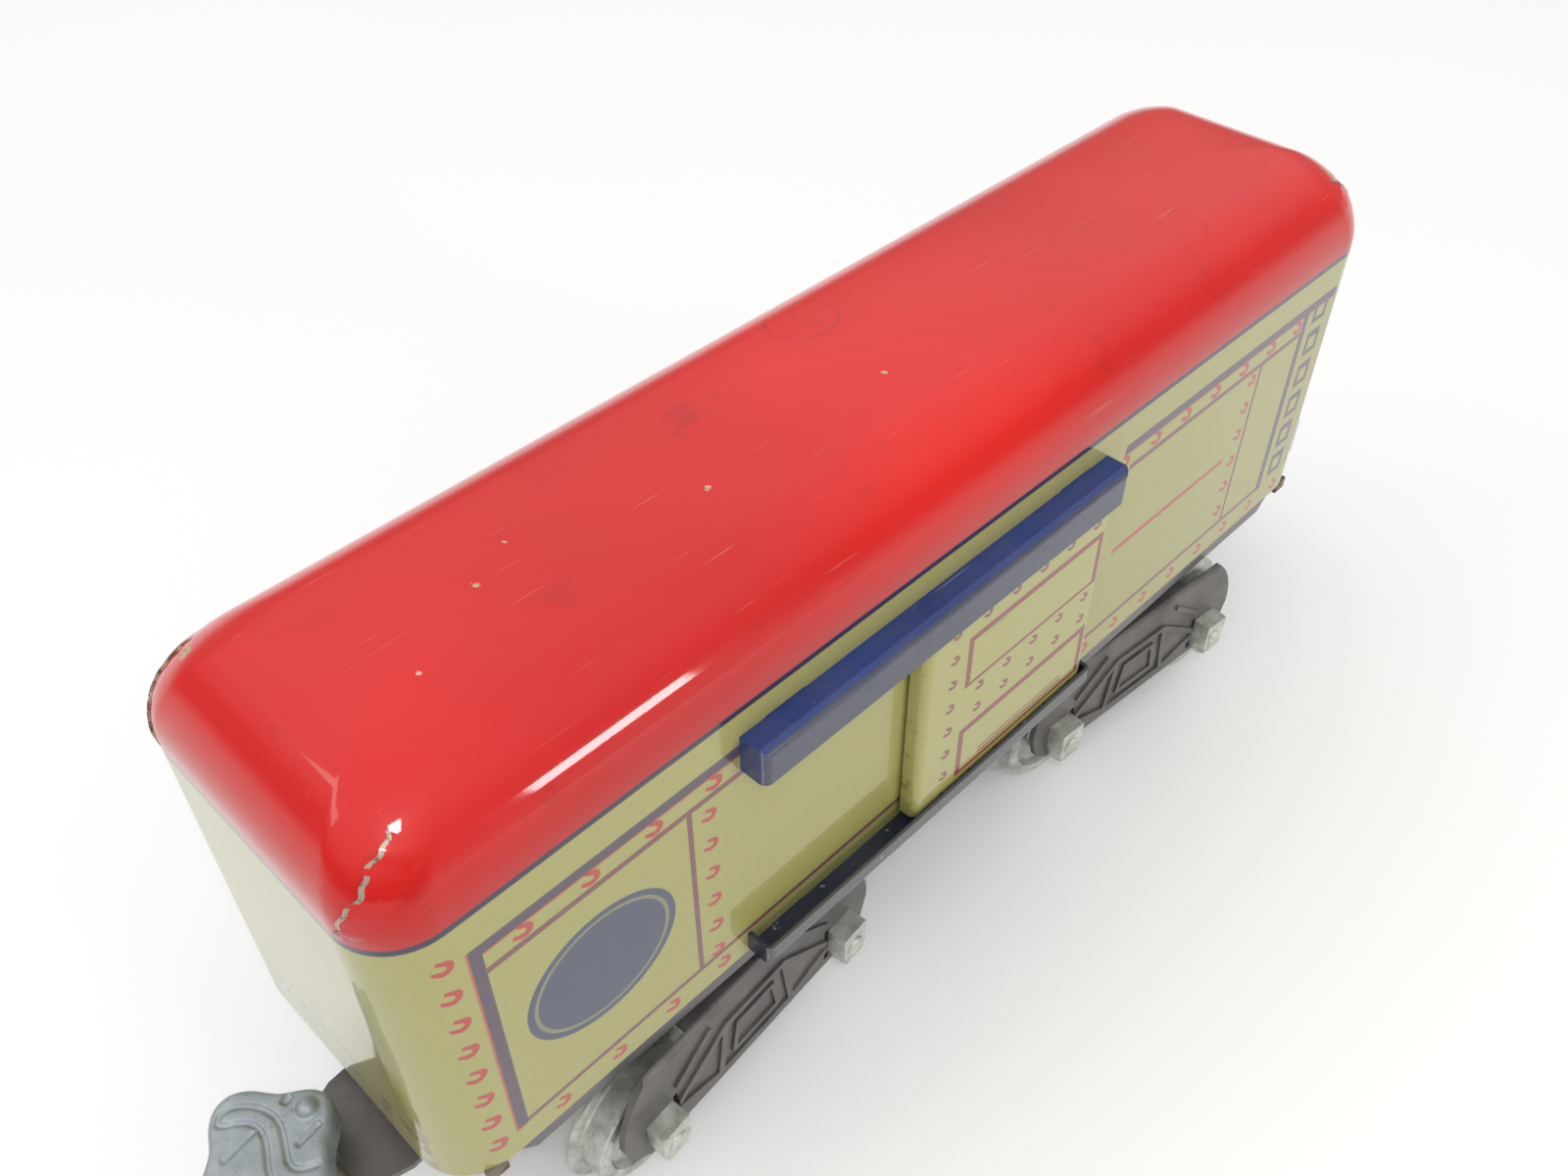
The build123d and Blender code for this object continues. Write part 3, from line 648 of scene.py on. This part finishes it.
def body_shell():
    """Deep-drawn shell: straight walls, rounded corners, arched roof with soft shoulders."""
    shell = add_block((-HALF_LENGTH, -HALF_WIDTH, BODY_BOTTOM),
                      (HALF_LENGTH, HALF_WIDTH, ROOF_START - SHOULDER_BAND))
    edit(shell, "EDGE", is_upright)
    bpy.ops.mesh.bevel(offset=CORNER * MM, segments=CORNER_STEPS, affect="EDGES", clamp_overlap=False)
    done()
    edit(shell, "FACE", lambda mesh, face: face.normal.z < -0.9)
    bpy.ops.mesh.delete(type="ONLY_FACE")
    done()
    edit(shell, "FACE", lambda mesh, face: face.normal.z > 0.9)
    bpy.ops.mesh.extrude_region_move(TRANSFORM_OT_translate={"value": (0, 0, SHOULDER_BAND * MM)})
    long, wide, height = HALF_LENGTH, HALF_WIDTH, 0.0
    for step in range(1, ROOF_STEPS + 1):
        angle = math.pi / 2 * step / ROOF_STEPS
        next_long = HALF_LENGTH - END_ROUND * (1 - math.cos(angle))
        next_wide = HALF_WIDTH - SIDE_ROUND * (1 - math.cos(angle))
        next_height = (RIDGE - ROOF_START) * math.sin(angle)
        step_up(next_height - height, long, next_long, wide, next_wide)
        long, wide, height = next_long, next_wide, next_height
    for drawn_in in ROOF_RINGS:
        next_long, next_wide = HALF_LENGTH - END_ROUND - drawn_in, HALF_WIDTH - SIDE_ROUND - drawn_in
        step_up(0.0, long, next_long, wide, next_wide)
        long, wide = next_long, next_wide
    done()
    for vertex in shell.data.vertices:
        if vertex.co.z > (ROOF_START - 0.1) * MM:
            across = vertex.co.y / (HALF_WIDTH * MM)
            vertex.co.z -= CROWN_DROP * MM * across * across
    modify(shell, "SOLIDIFY", thickness=WALL * MM, offset=-1.0, use_even_offset=True, material_offset=1,
           material_offset_rim=2)
    cutters = [door_hole(side) for side in (-1, 1)]
    for side in (-1, 1):
        cutters += rail_slots(side)
    sheet_finishes = FINISHES["litho"], FINISHES["bare_tin"], FINISHES["cut_edge"]
    for cutter in cutters:
        dress(cutter, *sheet_finishes)
        for face in cutter.data.polygons:
            face.material_index = 2
    dress(shell, *sheet_finishes)
    for cutter in cutters:
        cut_away(shell, cutter)
    smooth(shell, 35)
    modify(shell, "WEIGHTED_NORMAL", keep_sharp=True, weight=50)
    settle(shell, "pressed_body")
    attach(shell, "carbody")
    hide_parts("body_shell")
    return shell


def turned(corner, side):
    """A corner drawn for the left side, or half round for the right side."""
    x, y, z = corner
    return (x, y, z) if side < 0 else (-x, -y, z)


def side_block(low, high, side):
    first, second = turned(low, side), turned(high, side)
    return add_block([min(a, b) for a, b in zip(first, second)], [max(a, b) for a, b in zip(first, second)])


def door_hole(side):
    """Cutter for the opening behind a door, with rounded corners."""
    left, right = door_low.x / MM + HOLE_LAP[0], door_high.x / MM - HOLE_LAP[0]
    low, high = door_low.z / MM + HOLE_LAP[1], door_high.z / MM - HOLE_LAP[1]
    hole = side_block((left, -HALF_WIDTH - 1, low), (right, -HALF_WIDTH + WALL + 1, high), side)
    edit(hole, "EDGE", lambda mesh, edge: abs(edge_ends(mesh, edge)[0].y - edge_ends(mesh, edge)[1].y) > MM)
    bpy.ops.mesh.bevel(offset=1.0 * MM, segments=5, affect="EDGES")
    done()
    return hole


def rail_slots(side):
    """Openings that the rails' tabs pass through."""
    slots = []
    for node in ("upper_rail_left", "lower_rail_left"):
        low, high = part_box(node)
        web_low = high.z / MM - WALL if node.startswith("upper") else low.z / MM
        for middle in (low.x / MM + SLOT_FROM_END, high.x / MM - SLOT_FROM_END):
            start = (middle - SLOT_HALF, -HALF_WIDTH - 0.1, web_low - 0.1)
            stop = (middle + SLOT_HALF, -HALF_WIDTH + WALL + 0.1, web_low + WALL + 0.1)
            slots.append(side_block(start, stop, side))
    return slots


def body_tab(end, side):
    """Tab of the wall, folded under to grip the frame."""
    x, middle = end * TAB_PLACE, side * (HALF_WIDTH - WALL)
    tab = add_block((x - TAB_HALF[0], middle - TAB_HALF[1], BODY_BOTTOM - TAB_HEIGHT),
                    (x + TAB_HALF[0], middle + TAB_HALF[1], BODY_BOTTOM + 0.4))
    edit(tab, "EDGE", lambda mesh, edge: True)
    bpy.ops.mesh.bevel(offset=0.18 * MM, segments=3, affect="EDGES")
    done()
    dress(tab, FINISHES["cut_edge"])
    smooth(tab, 40)
    settle(tab, corner_name("body_tab", end, side))
    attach(tab, "carbody")


# ---- laps at the roof's corners ----------------------------------------------------------
LAP_ROWS, LAP_COLUMNS = 40, 12
LAP_WIDTH = 5.2
LAP_RISE = 0.3
LAP_SINK = 0.06                   # the lap's other edges lie this far below the sheet
LAP_SHEET = 0.4
LAP_TOP = Vector((-70.6, -15.3, 74.4))          # ends of the bare edge, front left corner
LAP_FOOT = Vector((-76.6, -13.6, 64.9))
LAP_OUTWARD = Vector((0.62, -0.78, -0.1)).normalized()      # from the bare edge over the side
HUB = Vector((-60.0, -4.0, 60.0))     # middle of the front left corner's curve


def at_corner(point, end, side):
    """A point given for the front left corner, at any of the four corners."""
    return Vector((point.x * -end, point.y * -side, point.z)) * MM


def lap_place(across, down, end, side):
    """Place on the lap before it is laid on the body: across from the bare edge, down from the roof."""
    ragged = 0.22 * math.sin(17 * down + end) + 0.14 * math.sin(41 * down + 2 * side)
    bow = 0.5 * math.sin(math.pi * down)
    taper = 0.35 + 0.65 * math.sin(math.pi * (0.15 + 0.85 * down)) ** 0.5
    reach = across * LAP_WIDTH * taper + ragged + bow
    return at_corner(LAP_TOP.lerp(LAP_FOOT, down) + LAP_OUTWARD * reach, end, side)


def corner_lap(shell, end, side):
    """The side's sheet folded over the end's, with a ragged bare edge down the corner."""
    deselect()
    bpy.ops.mesh.primitive_grid_add(x_subdivisions=LAP_COLUMNS, y_subdivisions=LAP_ROWS, size=1.0)
    lap = bpy.context.object
    hub = at_corner(HUB, end, side)
    for vertex in lap.data.vertices:
        across, down = vertex.co.x + 0.5, 0.5 - vertex.co.y
        place = lap_place(across, down, end, side)
        inward = (hub - place).normalized()
        _, nearest, normal, _ = shell.ray_cast(place - inward * 10 * MM, inward)
        fade = max(0.0, 1.0 - across * 1.25) * min(1.0, 5 * down, 12 * (1 - down))
        vertex.co = nearest + normal * (LAP_RISE * fade - LAP_SINK) * MM
    lap.data.update()
    first = lap.data.polygons[0]
    if first.normal.dot(first.center - hub) < 0:
        edit(lap, "FACE", lambda mesh, face: True)
        bpy.ops.mesh.flip_normals()
        done()
    dress(lap, FINISHES["litho"], FINISHES["lap_edge"])
    for number, face in enumerate(lap.data.polygons):
        row, column = divmod(number, LAP_COLUMNS)
        is_bare = column == 0 and math.sin(1.9 * row) + math.sin(0.7 * row) > -1.1
        face.material_index = 1 if is_bare else 0
    modify(lap, "SOLIDIFY", thickness=LAP_SHEET * MM, offset=-1.0, material_offset=0, material_offset_rim=1)
    smooth(lap, 40)
    settle(lap, corner_name("corner_lap", end, side))
    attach(lap, "carbody")


# ---- cast coupler heads -------------------------------------------------------------------
PIVOT_X = 39.5                    # truck pivots, each side of the middle
TRUCK_YAW = math.radians(5)
HEAD_PLACE = (-46.5, 2.06)        # middle of the head, from its truck's pivot
HEAD_STUD = (4.8, 0.2)
HEAD_RADIUS = 6.5
HOOK = ((-1.0, 4.6), (-2.1, 5.4), (-1.2, 6.3), (0.4, 6.0), (2.0, 3.8), (2.4, 1.4), (1.2, -1.2), (0.1, -3.2),
        (0.8, -4.6), (2.3, -5.3))
KNUCKLE = ((-1.0, 4.6), (0.3, 3.6), (0.7, 1.6), (-0.5, -0.7), (-1.7, -2.6), (-2.0, -5.0))
TONGUE = ((0.2, 2.2), (-2.1, 2.1), (-3.8, 1.9))
SHORT_RIB = ((3.5, 2.4), (4.7, 2.7))
LONG_RIB = ((1.8, -2.1), (4.9, -1.9))
HEAD_LINES = ((HOOK, 0.75), (KNUCKLE, 0.7), (TONGUE, 0.65), (SHORT_RIB, 1.1), (LONG_RIB, 0.9))
HEAD_WALL = 1.7
HEAD_HOLLOW = 4.4                 # depth of the hollow below
HEAD_EDGE = 0.8
STUD_RADIUS = 1.2
STUD_SINK = 0.4                   # middle of the stud below the face
HEEL_CUT = ((2.4, -9.0), (9.0, 9.0), 2.5)       # room for the drawbar as the head tips
THROAT_CUT = ((-9.0, -2.6), (-4.2, 2.6), 2.6)   # mouth that takes the other head's hook


def head_reach(angle):
    """Outline of the head: four soft lobes with scallops between."""
    return HEAD_RADIUS + 0.85 * math.cos(4 * angle) - 0.28 * math.cos(2 * angle)


def groove(points, width, height):
    """Round-bottomed cutter along a smooth line."""
    line = bpy.data.curves.new("groove", "CURVE")
    line.dimensions = "3D"
    spline = line.splines.new("NURBS")
    spline.points.add(len(points) - 1)
    for point, (x, y) in zip(spline.points, points):
        point.co = (x * MM, y * MM, height, 1.0)
    spline.order_u = min(3, len(points))
    spline.use_endpoint_u = True
    line.bevel_depth = width / 2 * MM
    line.bevel_resolution = 4
    line.use_fill_caps = True
    drawn = bpy.data.objects.new("groove", line)
    bpy.context.scene.collection.objects.link(drawn)
    bpy.context.view_layer.update()
    mesh = bpy.data.meshes.new_from_object(drawn)
    bpy.data.objects.remove(drawn)
    cutter = bpy.data.objects.new("groove", mesh)
    bpy.context.scene.collection.objects.link(cutter)
    edit(cutter, "FACE", lambda mesh, face: True)
    bpy.ops.mesh.remove_doubles(threshold=1e-6)
    bpy.ops.mesh.normals_make_consistent(inside=False)
    done()
    return cutter


def coupler_head(end):
    """Die-cast head, hollow below, with the hook drawn on its face and a domed stud."""
    deselect()
    low, high = coupler_low.z, coupler_high.z
    bpy.ops.mesh.primitive_circle_add(vertices=120, radius=HEAD_RADIUS * MM, fill_type="NGON",
                                      location=(0, 0, low))
    head = settle(bpy.context.object, "head")
    for vertex in head.data.vertices:
        reach = head_reach(math.atan2(vertex.co.y, vertex.co.x)) * MM
        around = Vector((vertex.co.x, vertex.co.y, 0)).normalized() * reach
        vertex.co.x, vertex.co.y = around.x, around.y
    edit(head, "FACE", lambda mesh, face: True)
    bpy.ops.mesh.extrude_region_move(TRANSFORM_OT_translate={"value": (0, 0, high - low)})
    bpy.ops.mesh.select_all(action="SELECT")
    bpy.ops.mesh.normals_make_consistent(inside=False)
    done()
    edit(head, "FACE", lambda mesh, face: face.normal.z < -0.9)
    bpy.ops.mesh.inset(thickness=HEAD_WALL * MM)
    bpy.ops.mesh.extrude_region_move(TRANSFORM_OT_translate={"value": (0, 0, HEAD_HOLLOW * MM)})
    done()
    for first, second, rise in (HEEL_CUT, THROAT_CUT):
        cut_away(head, add_block((*first, low / MM - 1), (*second, low / MM + rise)))
    stud_place = (HEAD_STUD[0] * MM, HEAD_STUD[1] * MM, high - STUD_SINK * MM)
    bpy.ops.mesh.primitive_uv_sphere_add(segments=32, ring_count=16, radius=STUD_RADIUS * MM,
                                         location=stud_place)
    stud = settle(bpy.context.object, "stud")
    edit(head, "EDGE", lambda mesh, edge: all(point.z > high - 0.1 * MM for point in edge_ends(mesh, edge)))
    bpy.ops.mesh.bevel(offset=HEAD_EDGE * MM, segments=4, affect="EDGES")
    done()
    for points, width in HEAD_LINES:
        cut_away(head, groove(points, width, high + 0.05 * MM))
    modify(head, "BOOLEAN", object=stud, operation="UNION", solver="MANIFOLD")
    bpy.data.objects.remove(stud)
    modify(head, "REMESH", mode="VOXEL", voxel_size=0.16 * MM, adaptivity=0.0, use_smooth_shade=True)
    modify(head, "SMOOTH", factor=0.5, iterations=3)
    turn = Matrix.Rotation(TRUCK_YAW * -end, 4, "Z")
    if end > 0:
        turn = turn @ Matrix.Rotation(math.pi, 4, "Z")
    place = Matrix.Translation((HEAD_PLACE[0] * MM, HEAD_PLACE[1] * MM, 0))
    head.data.transform(Matrix.Translation((PIVOT_X * end * MM, 0, 0)) @ turn @ place)
    where = "front" if end < 0 else "rear"
    dress(head, FINISHES["coupler_zinc"])
    settle(head, f"coupler_head_{where}")
    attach(head, f"{where}_coupler")
    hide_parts(f"coupler_{where}")


shell = body_shell()
for end in (-1, 1):
    coupler_head(end)
    for side in (-1, 1):
        body_tab(end, side)
        corner_lap(shell, end, side)


# ---- floor, lights, camera ----------------------------------------------------------

def floor():
    """Plain pale paper that the car stands on."""
    bpy.ops.object.select_all(action="DESELECT")
    bpy.ops.mesh.primitive_plane_add(size=6.0, location=(0, 0, 0))
    sheet = bpy.context.object
    sheet.name = "floor"
    finish = Finish("white_paper")
    colour = finish.blend(finish.noise(0.004, 2.0), linear(252, 252, 252), linear(247, 247, 246))
    seen = finish.node("ShaderNodeLightPath", {}, {})
    dress(sheet, finish.shade({
        "Base Color": colour, "Roughness": 0.6, "Emission Color": linear(255, 255, 254),
        "Emission Strength": seen["Is Camera Ray"].most(seen["Is Glossy Ray"]) * 0.09}))


def lamp(name, place, target, size, radiance):
    """Square area lamp of an even radiance, facing the target."""
    data = bpy.data.lights.new(name, "AREA")
    data.shape = "RECTANGLE"
    data.size, data.size_y = size
    data.energy = radiance * math.pi * size[0] * size[1]
    lit = bpy.data.objects.new(name, data)
    bpy.context.scene.collection.objects.link(lit)
    aim = Vector(target) - Vector(place)
    lit.matrix_world = Matrix.Translation(place) @ aim.to_track_quat("-Z", "Y").to_matrix().to_4x4()
    return lit


def room():
    """Bright ceiling that falls off to a dim horizon."""
    world = bpy.data.worlds.new("room")
    bpy.context.scene.world = world
    world.use_nodes = True
    tree = world.node_tree
    tree.nodes.clear()
    spot = tree.nodes.new("ShaderNodeTexCoord")
    split = tree.nodes.new("ShaderNodeSeparateXYZ")
    ramp = tree.nodes.new("ShaderNodeValToRGB")
    back = tree.nodes.new("ShaderNodeBackground")
    out = tree.nodes.new("ShaderNodeOutputWorld")
    levels = ((0.0, 0.62), (0.12, 0.25), (0.3, 0.32), (0.5, 0.75), (0.75, 1.05), (1.0, 1.05))
    stops = ramp.color_ramp.elements
    while len(stops) < len(levels):
        stops.new(1.0)
    for stop, (position, level) in zip(stops, levels):
        stop.position = position
        stop.color = (level, level, level, 1.0)
    tree.links.new(spot.outputs["Generated"], split.inputs["Vector"])
    tree.links.new(split.outputs["Z"], ramp.inputs["Fac"])
    seen = tree.nodes.new("ShaderNodeLightPath")
    white = tree.nodes.new("ShaderNodeMix")
    white.data_type = "RGBA"
    white.inputs[7].default_value = (0.93, 0.93, 0.93, 1.0)
    tree.links.new(seen.outputs["Is Camera Ray"], white.inputs[0])
    tree.links.new(ramp.outputs["Color"], white.inputs[6])
    tree.links.new(white.outputs[2], back.inputs["Color"])
    tree.links.new(back.outputs["Background"], out.inputs["Surface"])
    back.inputs["Strength"].default_value = 1.0


def camera():
    """Looks down on the front left corner."""
    data = bpy.data.cameras.new("camera")
    data.sensor_width = 36.0
    data.lens = 32.38
    seen = bpy.data.objects.new("camera", data)
    bpy.context.scene.collection.objects.link(seen)
    look = Vector((0.51401, 0.51167, -0.68847)).normalized()
    right = Vector((0.70092, -0.71321, -0.00676))
    right = (right - look * right.dot(look)).normalized()
    up = right.cross(look)
    turn = Matrix((right, up, -look)).transposed().to_4x4()
    seen.matrix_world = Matrix.Translation((-0.09424, -0.08053, 0.15805)) @ turn
    data.clip_start = 0.005
    bpy.context.scene.camera = seen


floor()
room()
lamp("ceiling_panel", (-0.66, 0.42, 0.74), (0, 0, 0.04), (0.5, 0.22), 2.6)
lamp("window", (0.178, -0.58, 0.165), (-0.05, -0.02, 0.07), (0.1, 0.07), 22.0)
lamp("flash", (-0.11, -0.12, 0.24), (-0.07, -0.01, 0.07), (0.03, 0.03), 30.0)
camera()
bpy.context.scene.view_settings.view_transform = "Standard"
